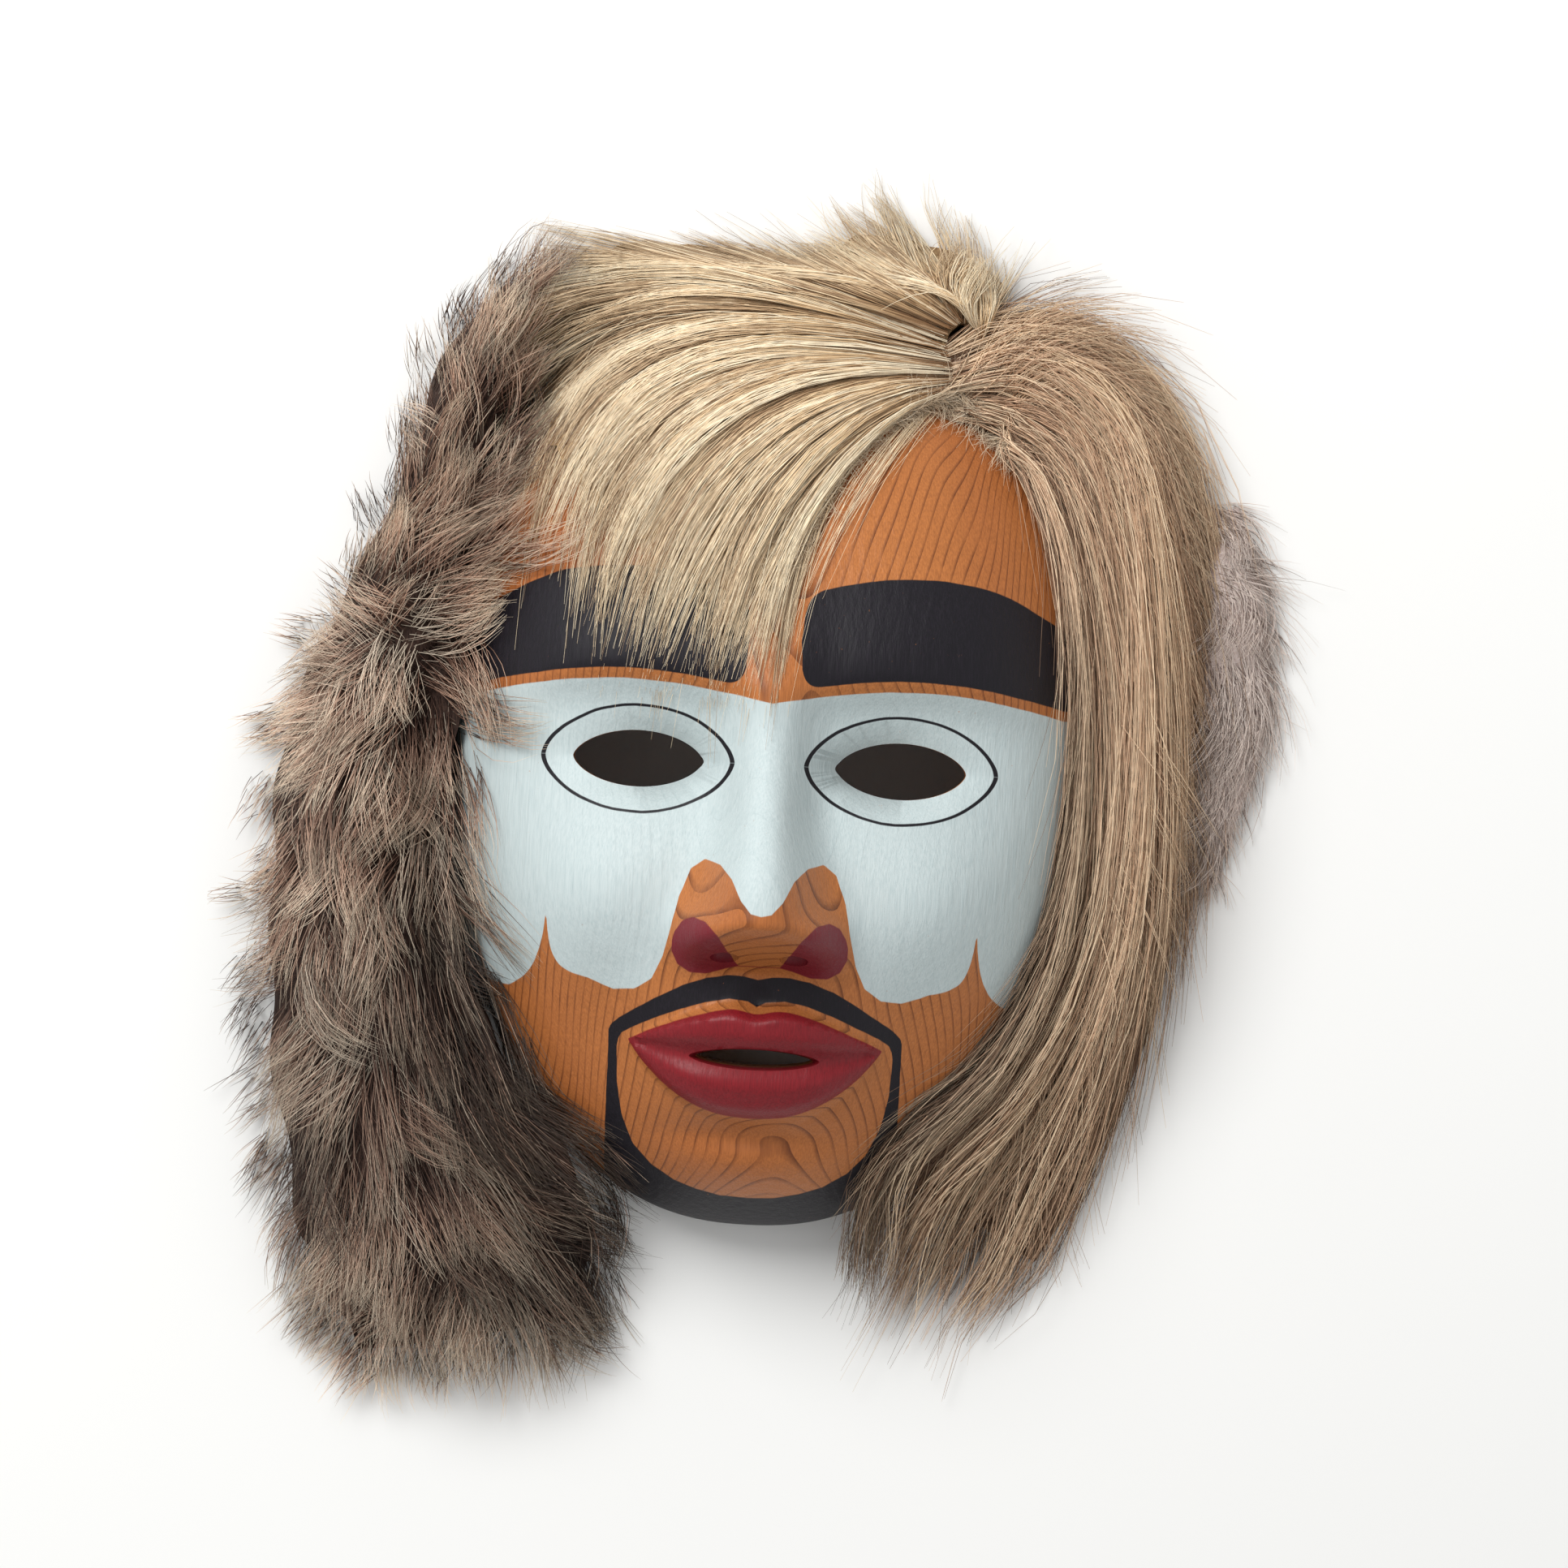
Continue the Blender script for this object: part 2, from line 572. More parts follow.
def paintedCedar():
    material, tree, shader = newMaterial("Painted cedar")
    place = millimetres(tree)
    rings, fibre, warp = cedarGrain(tree, place)
    patchy = fade(tree, noise(tree, place, 0.07, 3.0), 0.32, 0.58, 0.35, 1.0)
    late = times(tree, fade(tree, rings, 0.74, 0.97), patchy)
    cedar = blend(tree, fade(tree, warp, 0.3, 0.7), paint["cedar"], paint["cedarLight"])
    cedar = blend(tree, fade(tree, fibre, 0.35, 0.7, 0.0, 0.35), cedar, paint["cedarDark"])
    cedar = blend(tree, times(tree, late, 0.80), cedar, paint["cedarDark"])

    chips = fade(tree, noise(tree, place, 0.55, 4.0, 0.7), 0.70, 0.74)
    kept = minus(tree, 1.0, times(tree, chips, 0.6))
    pale = blend(tree, fade(tree, fibre, 0.4, 0.75, 0.0, 0.5), paint["pale"], paint["paleShade"])
    pale = blend(tree, times(tree, late, 0.10), pale, paint["paleShade"])
    black = blend(tree, fade(tree, fibre, 0.45, 0.8, 0.0, 0.7), paint["black"], paint["blackWorn"])
    red = blend(tree, fade(tree, fibre, 0.4, 0.75, 0.0, 0.6), paint["red"], paint["redDark"])
    areas = paintedAreas(tree, place)
    colour = cedar
    coats = (("pale", pale, True), ("brow", black, True), ("nostril", paint["maroon"], False),
             ("band", black, True), ("lips", red, False), ("eyeLine", paint["black"], False))
    for name, coat, worn in coats:
        colour = blend(tree, times(tree, areas[name], kept) if worn else areas[name], colour, coat)
    tree.links.new(colour, shader.inputs["Base Color"])

    painted = calc(tree, "MAXIMUM", areas["pale"], calc(tree, "MAXIMUM", areas["brow"], areas["band"]))
    dullness = fade(tree, painted, 0.0, 1.0, 0.42, 0.55)
    dullness = plus(tree, dullness, fade(tree, fibre, 0.3, 0.8, -0.05, 0.08))
    tree.links.new(dullness, shader.inputs["Roughness"])
    shader.inputs["Specular IOR Level"].default_value = 0.28
    grooves = plus(tree, times(tree, late, 0.5), fibre)
    strokes = noise(tree, place, 0.42, 2.0, 0.55, (1.0, 0.22, 1.0))
    normal = addBump(tree, shader, strokes, 0.0005, 0.6)
    addBump(tree, shader, grooves, 0.00012, 0.85, normal)
    return material


def rawCedar():
    # unpainted wood inside the hollow and through the openings
    material, tree, shader = newMaterial("Bare hollowed cedar")
    place = millimetres(tree)
    rings, fibre, warp = cedarGrain(tree, place)
    late = fade(tree, rings, 0.55, 0.97)
    gouge = noise(tree, place, 0.10, 1.0, 0.4, (1.0, 0.35, 1.0))
    colour = blend(tree, fade(tree, warp, 0.3, 0.7), paint["bare"], paint["bareLight"])
    colour = blend(tree, times(tree, late, 0.6), colour, paint["bareDark"])
    colour = blend(tree, fade(tree, fibre, 0.4, 0.75, 0.0, 0.4), colour, paint["bareFibre"])
    tree.links.new(colour, shader.inputs["Base Color"])
    tree.links.new(fade(tree, fibre, 0.3, 0.8, 0.62, 0.80), shader.inputs["Roughness"])
    normal = addBump(tree, shader, gouge, 0.0022, 0.8)
    addBump(tree, shader, plus(tree, fibre, late), 0.00015, 0.8, normal)
    return material


def shareMaterials(mesh):
    # paint goes on the outside and the bevels, bare wood on the hollow, the foot and the cut walls
    count = len(mesh.polygons)
    middles, normals = np.zeros(count * 3), np.zeros(count * 3)
    mesh.polygons.foreach_get("center", middles)
    mesh.polygons.foreach_get("normal", normals)
    x, y, z = middles.reshape(-1, 3).T
    rising = normals.reshape(-1, 3)[:, 2]
    facing = (rising > 0.05) & (z > hollowHeight(x, y) + carving["paintFloor"])
    side = (discShare(x, y) > 0.985) & (rising > -0.5)
    mesh.polygons.foreach_set("material_index", np.where(facing | side, 0, 1))


def nostrilCutter(side):
    shape = bmesh.new()
    bmesh.ops.create_uvsphere(shape, u_segments=28, v_segments=18, radius=carving["nostril"])
    x = side * carving["nostrilPlace"][0] * halfWidth
    y = (carving["noseBase"] + carving["nostrilPlace"][1]) * halfHeight
    bmesh.ops.translate(shape, verts=shape.verts[:], vec=(x, y, float(faceHeight(x, y))))
    ball = bpy.data.meshes.new("nostrilCutter")
    shape.to_mesh(ball)
    shape.free()
    item = bpy.data.objects.new("nostrilCutter", ball)
    bpy.context.scene.collection.objects.link(item)
    return item


def maskCutters():
    yield block("hollowCutter", carving["hollowGrid"], hollowHeight, carving["wall"], -carving["rimEdge"])
    for side in (-1, 1):
        middle = (side * carving["eyeAside"] * halfWidth, carving["eyeLine"] * halfHeight)
        sizes = carving["eyeRim"], carving["eyeOpening"], carving["eyeBevel"]
        yield openingCutter("eyeCutter", middle, *sizes)
        yield nostrilCutter(side)
    middle = (0.0, (carving["mouthLine"] + 0.004) * halfHeight)
    sizes = carving["mouthRim"], carving["mouthOpening"], carving["mouthBevel"]
    yield openingCutter("mouthCutter", middle, *sizes)


def moveToCentre(item):
    item.data.transform(Matrix.Translation(centre))


def buildMask():
    item = block("carvedCedarMask", carving["faceGrid"], knifedHeight, 0.0, 0.0)
    item.data.materials.append(paintedCedar())
    item.data.materials.append(rawCedar())
    cutters = list(maskCutters())
    for cutter in cutters:
        change = item.modifiers.new(cutter.name, "BOOLEAN")
        change.operation = "DIFFERENCE"
        change.solver = "EXACT"
        change.object = cutter
    plainCopy(item)
    for cutter in cutters:
        bpy.data.objects.remove(cutter, do_unlink=True)
    shareMaterials(item.data)
    moveToCentre(item)
    item.data.shade_smooth()
    item.data.set_sharp_from_angle(angle=carving["crease"])
    return item


settle(buildMask(), "carved_mask", "cedar")
print("mask carved and painted")


# hair and fur
hides = {
    "curtainLoft": 0.044, "curtainEdge": 0.021, "shaggyLoft": 0.050, "tuftLoft": 0.0095, "lowEdge": 0.002,
    "skinGap": 0.0006, "thinnest": 0.0008, "farthest": 0.013, "crease": math.radians(60),
    # shares across and along each strip that its underfur covers, and the points of its grid
    "fringeGrid": ((0.01, 0.99, 90), (0, 1, 46)), "curtainGrid": ((-0.94, 0.88, 31), (0.01, 0.87, 108)),
    "shaggyGrid": ((-0.90, 0.88, 37), (0.015, 0.915, 114)), "tuftGrid": ((-1.0, 0.66, 13), (0.05, 0.90, 40)),
    # where the hair ends all round, in mm from the mask's middle
    "outline": (
        (-43, -178), (-71, -187), (-106, -170), (-140, -160), (-146, -131), (-151, -95), (-156, -74),
        (-154, -28), (-145, -13), (-154, 8), (-148, 23), (-135, 43), (-127, 58), (-119, 82), (-113, 111),
        (-91, 149), (-76, 166), (-53, 162), (-32, 162), (-8, 165), (13, 173), (27, 182), (42, 176),
        (60, 160), (83, 165), (104, 155), (126, 106), (143, 87), (152, 69), (161, 49), (157, 24),
        (148, 9), (134, -15), (125, -54), (113, -91), (93, -137), (67, -163), (46, -162), (28, -151),
        (15, -130), (8, -90), (-26, -100), (-34, -130), (-38, -164),
    ),
    # root, bend and tip of the fringe's guides, as shares of the mask's half width and height
    "fringeGuides": (
        ((0.54, 0.91), (0.08, 0.78), (-0.03, 0.20)), ((0.53, 0.92), (-0.14, 0.84), (-0.24, 0.20)),
        ((0.52, 0.94), (-0.36, 0.93), (-0.48, 0.33)), ((0.51, 0.96), (-0.56, 1.04), (-0.66, 0.40)),
        ((0.50, 0.98), (-0.72, 1.17), (-0.81, 0.54)), ((0.49, 1.00), (-0.70, 1.26), (-0.88, 0.88)),
        ((0.49, 1.03), (-0.45, 1.24), (-0.80, 1.24)), ((0.51, 1.05), (0.08, 1.20), (-0.22, 1.26)),
        ((0.54, 1.06), (0.38, 1.22), (0.24, 1.36)), ((0.60, 1.02), (0.69, 1.12), (0.69, 1.25)),
    ),
    # middle line and half width of each strip of hide
    "curtainLine": (
        (0.50, 0.95, 0.15), (0.75, 0.98, 0.28), (1.01, 0.83, 0.29), (1.13, 0.50, 0.24),
        (1.17, 0.08, 0.22), (1.12, -0.34, 0.23), (0.94, -0.69, 0.28), (0.68, -0.96, 0.35),
        (0.52, -1.19, 0.20),
    ),
    "shaggyLine": (
        (-0.84, 1.10, 0.09), (-0.98, 0.90, 0.17), (-1.06, 0.60, 0.21), (-1.19, 0.30, 0.27),
        (-1.28, 0.00, 0.33), (-1.27, -0.34, 0.35), (-1.18, -0.68, 0.42), (-0.98, -1.00, 0.53),
        (-0.88, -1.24, 0.44), (-0.84, -1.39, 0.30),
    ),
    "tuftLine": (
        (1.40, 0.72, 0.06), (1.46, 0.46, 0.15), (1.46, 0.20, 0.19), (1.43, -0.02, 0.11), (1.41, -0.14, 0.04),
    ),
}


def smoothLine(points, count):
    # a smooth curve through every point, sampled evenly between them
    points = np.array(points, float)
    place = np.linspace(0, len(points) - 1, count)
    index = np.minimum(place.astype(int), len(points) - 2)
    t = (place - index).reshape((-1,) + (1,) * (points.ndim - 1))
    last = len(points) - 1
    before, here, after, beyond = (points[np.clip(index + step, 0, last)] for step in (-1, 0, 1, 2))
    bend = (after - before) * t + (2 * before - 5 * here + 4 * after - beyond) * t * t
    return 0.5 * (2 * here + bend + (3 * here - before - 3 * after + beyond) * t ** 3)


guideTable = smoothLine(hides["fringeGuides"], 181) * np.array((halfWidth, halfHeight))


def fringePlan(across, t):
    # a point of the fringe's fan: across from the bare brow round to the crown, t from parting to tip
    at = np.linspace(0, 1, len(guideTable))
    plan = []
    for axis in (0, 1):
        root, bend, tip = (np.interp(across, at, guideTable[:, row, axis]) for row in range(3))
        plan.append(root * (1 - t) ** 2 + bend * 2 * t * (1 - t) + tip * t * t)
    return plan


def hideStrip(line):
    rows = smoothLine(line, 240)
    x, y, reach = rows[:, 0] * halfWidth, rows[:, 1] * halfHeight, rows[:, 2] * halfWidth
    runX, runY = np.gradient(x), np.gradient(y)
    size = np.hypot(runX, runY)
    strip = {"x": x, "y": y, "reach": reach, "runX": runX / size, "runY": runY / size}
    return strip | {"length": float(size.sum())}


def onStrip(strip, across, along):
    inside = np.clip(along, 0, 1)
    at = np.linspace(0, 1, len(strip["x"]))
    names = ("x", "y", "reach", "runX", "runY")
    x, y, reach, runX, runY = (np.interp(inside, at, strip[name]) for name in names)
    beyond = (along - inside) * strip["length"]
    side = across * reach
    return x - runY * side + runX * beyond, y + runX * side + runY * beyond, runX, runY


curtainStrip = hideStrip(hides["curtainLine"])
shaggyStrip = hideStrip(hides["shaggyLine"])
tuftStrip = hideStrip(hides["tuftLine"])


def hairBed(x, y):
    # the slope that hair lies on, over the mask's edge and past it
    share = discShare(x, y)
    slope = 0.62 * carving["depth"] * np.maximum(1.0 - (share / 1.50) ** 2, 0.0) ** 0.8
    return np.maximum(np.where(share < 1.0, faceHeight(x, y), 0.0), slope)


def underside(x, y):
    # just clear of the wood where a hide lies on it, down on the floor beside it
    return np.where(discShare(x, y) < 1.06, faceHeight(0.965 * x, 0.965 * y) + hides["skinGap"], 0.0)


def bodyGrid(name):
    across, along = hides[name]
    return np.meshgrid(np.linspace(*across), np.linspace(*along))


def hideBody(name, x, y, height):
    bottom = underside(x, y)
    top = np.maximum(height, bottom + hides["thinnest"])
    return closedSlab(name, np.stack((x, y, top), axis=-1), np.stack((x, y, bottom), axis=-1))


def laidOver(x, y, height, near, far):
    # beside the mask a hide lies no lower than its bed, which fades out past the edge
    beside = 1.0 - smoothStep(near, far, discShare(x, y))
    return np.maximum(height, (hairBed(x, y) + 0.001) * beside)


def fringeBody():
    across, along = bodyGrid("fringeGrid")
    ragged = 0.80 - 0.10 * smoothStep(0.45, 0.70, across)
    ragged = ragged + 0.02 * np.sin(across * 61.0) + 0.015 * np.sin(across * 143.0)
    x, y = fringePlan(across, along * ragged)
    body = smoothStep(0.0, 0.25, along) * (1.0 - 0.9 * smoothStep(0.55, 1.0, along))
    edge = smoothStep(0.0, 0.10, across) * (1.0 - smoothStep(0.92, 1.0, across))
    loft = 0.0012 + 0.0035 * body * (0.35 + 0.65 * edge) + 0.0005 * np.sin(across * 88.0 + 4 * along)
    # past the mask it slopes down to the floor towards the tips
    past = smoothStep(1.0, 1.05, discShare(x, y)) * smoothStep(0.30, 1.0, along)
    return hideBody("fringeUnderfur", x, y, (hairBed(x, y) + loft) * (1.0 - 0.95 * past))


def curtainBody():
    across, along = bodyGrid("curtainGrid")
    # narrower at the crown, where the hair falls over its outer side
    narrow = np.where(across > 0, 0.92 - 0.16 * smoothStep(0.34, 0.12, along), 1.0)
    x, y = onStrip(curtainStrip, across * narrow, along)[:2]
    # high beside the mask, rolled down to the floor on the outer side and at both ends
    outer = (1.0 - (np.clip(across, 0, 1) / 0.89) ** 1.9) ** 0.75
    rounding = np.where(across < 0, (1.0 - across * across) ** 0.6, outer)
    taper = (1.0 - 0.80 * smoothStep(0.5, 0.88, along)) * (0.15 + 0.85 * smoothStep(0.0, 0.12, along))
    low = np.where(across < 0, hides["curtainEdge"], hides["lowEdge"])
    height = low + (hides["curtainLoft"] - low) * rounding
    height = (0.84 * height + 0.0008 * np.sin(across * 19.0 + 5.0 * along)) * taper
    return hideBody("curtainUnderfur", x, y, laidOver(x, y, height, 1.05, 1.30))


def shaggyBody():
    across, along = bodyGrid("shaggyGrid")
    ragged = 1.0 + 0.06 * np.sin(along * 70.0) * np.abs(across) ** 4
    x, y = onStrip(shaggyStrip, across * ragged * np.where(across < 0, 0.95, 1.0), along)[:2]
    rounding = (1.0 - np.minimum(np.abs(across) / 0.91, 1.0) ** 2.0) ** 0.80
    taper = smoothStep(-0.12, 0.16, along) * (1.0 - 0.60 * smoothStep(0.80, 0.925, along))
    height = hides["lowEdge"] + 0.70 * hides["shaggyLoft"] * rounding * taper
    height = height + 0.0016 * np.sin(along * 90.0) * np.sin(across * 9.0 + 1.3) * rounding
    return hideBody("shaggyUnderfur", x, y, laidOver(x, y, height, 1.04, 1.22))


def tuftBody():
    across, along = bodyGrid("tuftGrid")
    x, y = onStrip(tuftStrip, across, along)[:2]
    rounding = 1.0 - np.abs((across + 0.17) / 0.83) ** 2.5
    ends = smoothStep(0.03, 0.20, along) * (1.0 - smoothStep(0.72, 0.91, along))
    height = 0.001 + hides["tuftLoft"] * rounding * ends + 0.0006 * np.sin(along * 60 + across * 5)
    return hideBody("backTuftUnderfur", x, y, height)


def restHeight(x, y, trees):
    # height of whatever lies under each point: wood, underfur or floor
    ground = np.where(discShare(x, y) < 1.0, faceHeight(x, y), 0.0)
    flat = ground.ravel()
    down = Vector((0.0, 0.0, -1.0))
    for place, (atX, atY) in enumerate(zip(x.ravel(), y.ravel())):
        for tree in trees:
            hit = tree.ray_cast(Vector((atX, atY, 1.0)), down)[0]
            if hit is not None and hit.z > flat[place]:
                flat[place] = hit.z
    return flat.reshape(x.shape)


def insideOutline(x, y):
    # a point is inside when a line from it crosses the outline an odd number of times
    inside = np.zeros(x.shape, bool)
    corners = [(atX / 1000, atY / 1000) for atX, atY in hides["outline"]]
    for (fromX, fromY), (toX, toY) in zip(corners, corners[1:] + corners[:1]):
        lean = (toX - fromX) / (toY - fromY or 1.0)
        inside ^= ((fromY > y) != (toY > y)) & (x < fromX + (y - fromY) * lean)
    return inside


def shareKept(x, y):
    # how much of each hair is walked before it leaves the outline, each a little differently
    last = x.shape[1] - 1
    # locks end a little inside or past it together, and single hairs differ too
    tipX, tipY, own = x[:, -1:], y[:, -1:], np.sin(613.0 * np.arange(len(x)))[:, None]
    ragged = 1.0 + 0.026 * np.sin(820.0 * tipX + 1.0) * np.sin(760.0 * tipY) + 0.024 * own
    outside = ~insideOutline(x * ragged + 0.003 * np.sin(530.0 * tipY) + 0.002 * own, y * ragged)
    rootOutside = outside[:, 0].copy()
    outside[:, 0] = False
    first = np.where(outside.any(axis=1), outside.argmax(axis=1), last + 2)
    luck = 0.96 + 0.16 * np.sin(997.0 * np.arange(len(x)))
    kept = np.minimum((first - 0.5) / last * luck, 1.0)
    return np.where(rootOutside, 0.35 * luck, kept)


def shorten(plan, kept):
    # the same path, walked only part of the way
    last = plan.shape[1] - 1
    place = np.arange(last + 1)[None, :] * kept[:, None]
    low = np.minimum(place.astype(int), last - 1)
    rows = np.arange(len(plan))[:, None]
    return plan[rows, low] + (plan[rows, low + 1] - plan[rows, low]) * (place - low)


def layDown(x, y, loft, trees, slack=0.55):
    # hair follows what lies under it, drops no faster than it can bend, and never sinks in
    kept = shareKept(x, y)
    x, y = shorten(x, kept), shorten(y, kept)
    low, high = (np.array(corner) - centre for corner in cadBox)
    x, y = (np.clip(plan, low[axis] - hides["farthest"], high[axis] + hides["farthest"])
            for axis, plan in ((0, x), (1, y)))
    ground = restHeight(x, y, trees)
    z = ground + loft
    for step in range(1, x.shape[1]):
        run = np.hypot(x[:, step] - x[:, step - 1], y[:, step] - y[:, step - 1])
        z[:, step] = np.maximum(z[:, step], z[:, step - 1] - slack * run)
    for _ in range(2):
        z[:, 1:-1] = 0.25 * z[:, :-2] + 0.5 * z[:, 1:-1] + 0.25 * z[:, 2:]
    z = np.maximum(z, ground + 0.0003)
    return np.stack((x, y, np.maximum(z, 0.0005)), axis=-1)


def strandTree():
    # every run of edges becomes a fine closed hair, as thick as its own points say
    tree = bpy.data.node_groups.new("Hairs along paths", "GeometryNodeTree")
    face = tree.interface
    face.new_socket("Paths", in_out="INPUT", socket_type="NodeSocketGeometry")
    sockets = {
        "sides": face.new_socket("Sides", in_out="INPUT", socket_type="NodeSocketInt"),
        "swell": face.new_socket("Thickness", in_out="INPUT", socket_type="NodeSocketFloat"),
        "finish": face.new_socket("Hair finish", in_out="INPUT", socket_type="NodeSocketMaterial"),
    }
    face.new_socket("Hairs", in_out="OUTPUT", socket_type="NodeSocketGeometry")
    start = addNode(tree, "NodeGroupInput").outputs
    curves = addNode(tree, "GeometryNodeMeshToCurve", {"Mesh": start["Paths"]}).outputs[0]
    inputs = {"Resolution": start["Sides"], "Radius": 1.0}
    ring = addNode(tree, "GeometryNodeCurvePrimitiveCircle", inputs).outputs[0]
    inputs = {"Name": "thickness"}
    thick = addNode(tree, "GeometryNodeInputNamedAttribute", inputs, data_type="FLOAT").outputs[0]
    thick = times(tree, thick, start["Thickness"])
    inputs = {"Curve": curves, "Profile Curve": ring, "Scale": thick, "Fill Caps": True}
    hairs = addNode(tree, "GeometryNodeCurveToMesh", inputs).outputs[0]
    hairs = addNode(tree, "GeometryNodeRealizeInstances", {"Geometry": hairs}).outputs[0]
    inputs = {"Geometry": hairs, "Material": start["Hair finish"]}
    hairs = addNode(tree, "GeometryNodeSetMaterial", inputs).outputs[0]
    addNode(tree, "NodeGroupOutput", {"Hairs": hairs})
    return tree, {name: socket.identifier for name, socket in sockets.items()}


hairTree, hairSockets = strandTree()


def growHairs(name, paths, radius, tint, shade, material, sides=3):
    # paths is strands by points by 3; tint and shade are one value a strand
    strands, points = paths.shape[:2]
    along = np.tile(np.linspace(0, 1, points), (strands, 1))
    taper = (1.0 - 0.80 * along ** 1.5) * (0.75 + 0.25 * smoothStep(0.0, 0.15, along))
    thickness = radius[:, None] * taper
    index = np.arange(strands * points).reshape(strands, points)
    edges = np.stack((index[:, :-1], index[:, 1:]), axis=-1).reshape(-1, 2)
    mesh = bpy.data.meshes.new(name)
    mesh.from_pydata((paths + centre).reshape(-1, 3).tolist(), edges.tolist(), [])
    values = {"along": along, "thickness": thickness,
              "tint": np.repeat(tint, points), "shade": np.repeat(shade, points)}
    for title, value in values.items():
        layer = mesh.attributes.new(title, "FLOAT", "POINT")
        layer.data.foreach_set("value", value.astype(np.float32).ravel())
    item = bpy.data.objects.new(name, mesh)
    bpy.context.scene.collection.objects.link(item)
    change = item.modifiers.new("Hairs", "NODES")
    change.node_group = hairTree
    change[hairSockets["sides"]] = sides
    change[hairSockets["swell"]] = 1.0
    change[hairSockets["finish"]] = material
    plainCopy(item)
    item.data.shade_smooth()
    return item


def hairMaterial(name, rootToTip, light, dark, roughness):
    # colour runs from root to tip, each lock a little lighter or darker
    material, tree, shader = newMaterial(name)
    along, tint, shade = (
        addNode(tree, "ShaderNodeAttribute", attribute_name=title).outputs["Fac"]
        for title in ("along", "tint", "shade"))
    colour = colourStops(tree, along, rootToTip)
    colour = blend(tree, fade(tree, tint, 0.5, 1.0, 0.0, 0.75), colour, light)
    colour = blend(tree, fade(tree, tint, 0.5, 0.0, 0.0, 0.75), colour, dark)
    colour = blend(tree, shade, colour, (0.02, 0.014, 0.011, 1.0))
    place = millimetres(tree)
    streak = noise(tree, place, 0.35, 2.0)
    colour = blend(tree, fade(tree, streak, 0.35, 0.7, 0.0, 0.25), colour, dark)
    tree.links.new(colour, shader.inputs["Base Color"])
    dullness = fade(tree, streak, 0.3, 0.7, roughness - 0.05, roughness + 0.08)
    tree.links.new(dullness, shader.inputs["Roughness"])
    shader.inputs["Specular IOR Level"].default_value = 0.25
    return material


def furMaterial(name, light, dark, stretch):
    # soft underfur seen between the hairs
    material, tree, shader = newMaterial(name)
    place = millimetres(tree)
    fluff = noise(tree, place, 0.9, 4.0, 0.7, stretch)
    patch = noise(tree, place, 0.05, 2.0)
    colour = blend(tree, fade(tree, fluff, 0.35, 0.65), dark, light)
    colour = blend(tree, fade(tree, patch, 0.4, 0.65, 0.0, 0.4), colour, dark)
    tree.links.new(colour, shader.inputs["Base Color"])
    tree.links.new(fade(tree, fluff, 0.3, 0.7, 0.8, 0.95), shader.inputs["Roughness"])
    shader.inputs["Specular IOR Level"].default_value = 0.15
    addBump(tree, shader, fluff, 0.0012, 1.0)
    return material


def finishBody(item, material):
    moveToCentre(item)
    item.data.materials.append(material)
    item.data.shade_smooth()
    item.data.set_sharp_from_angle(angle=hides["crease"])
    return item


def bodyTree(item):
    shape = bmesh.new()
    shape.from_mesh(item.data)
    tree = BVHTree.FromBMesh(shape)
    shape.free()
    return tree


def lockOf(across, count, shift):
    # the number and the middle of the lock that each strand belongs to
    number = np.floor(across * count + shift)
    return number.astype(int), (number + 0.5 - shift) / count


def luckOf(seed, size, number):
    # the same few random shares for every strand of one lock
    return np.random.default_rng(seed).random(size)[number % size[0]]


def unevenWidth(rng, radius, count, least=0.8, more=0.4):
    return radius * (least + more * rng.random(count))


bodies = {"fringe": fringeBody(), "curtain": curtainBody(), "shaggy": shaggyBody(), "tuft": tuftBody()}
trees = {name: bodyTree(item) for name, item in bodies.items()}
blonde = furMaterial("Pale underfur", srgb(202, 172, 130), srgb(126, 94, 66), (1.0, 0.3, 1.0))
tan = furMaterial("Tan underfur", srgb(132, 104, 80), srgb(70, 50, 39), (1.0, 0.2, 1.0))
brown = furMaterial("Dark underfur", srgb(84, 64, 55), srgb(38, 28, 25), (1.0, 0.35, 1.0))
greyPink = furMaterial("Grey pink underfur", srgb(244, 230, 224), srgb(206, 186, 178), (0.4, 1.0, 1.0))
for name, material, node, slotName in (
    ("fringe", blonde, "long_hair_pelt", "long_hair"), ("curtain", tan, "long_hair_pelt", "long_hair"),
    ("shaggy", brown, "shaggy_pelt_left", "shaggy_fur"), ("tuft", greyPink, "shaggy_tuft_right", "pale_fur"),
):
    settle(finishBody(bodies[name], material), node, slotName)
print("underfur ready")

# long pale hair swept from the parting across the brow
fringe = {
    "strands": 5500, "points": 7, "seed": 11, "layers": 4, "locks": 26, "fineLocks": 96, "radius": 0.00019,
    "rootSpread": (0.50, 0.34, 0.20, 0.10), "tipFrom": (0.93, 0.86, 0.76, 0.62),
    "tipSpan": (0.10, 0.12, 0.18, 0.28), "layerLoft": (0.0008, 0.0026, 0.0046, 0.0066),
    "lockPull": 0.60, "finePull": 0.34, "strayShare": 0.06, "straySize": 3.5, "tipShake": 0.0013,
    "wave": 0.0036,
}


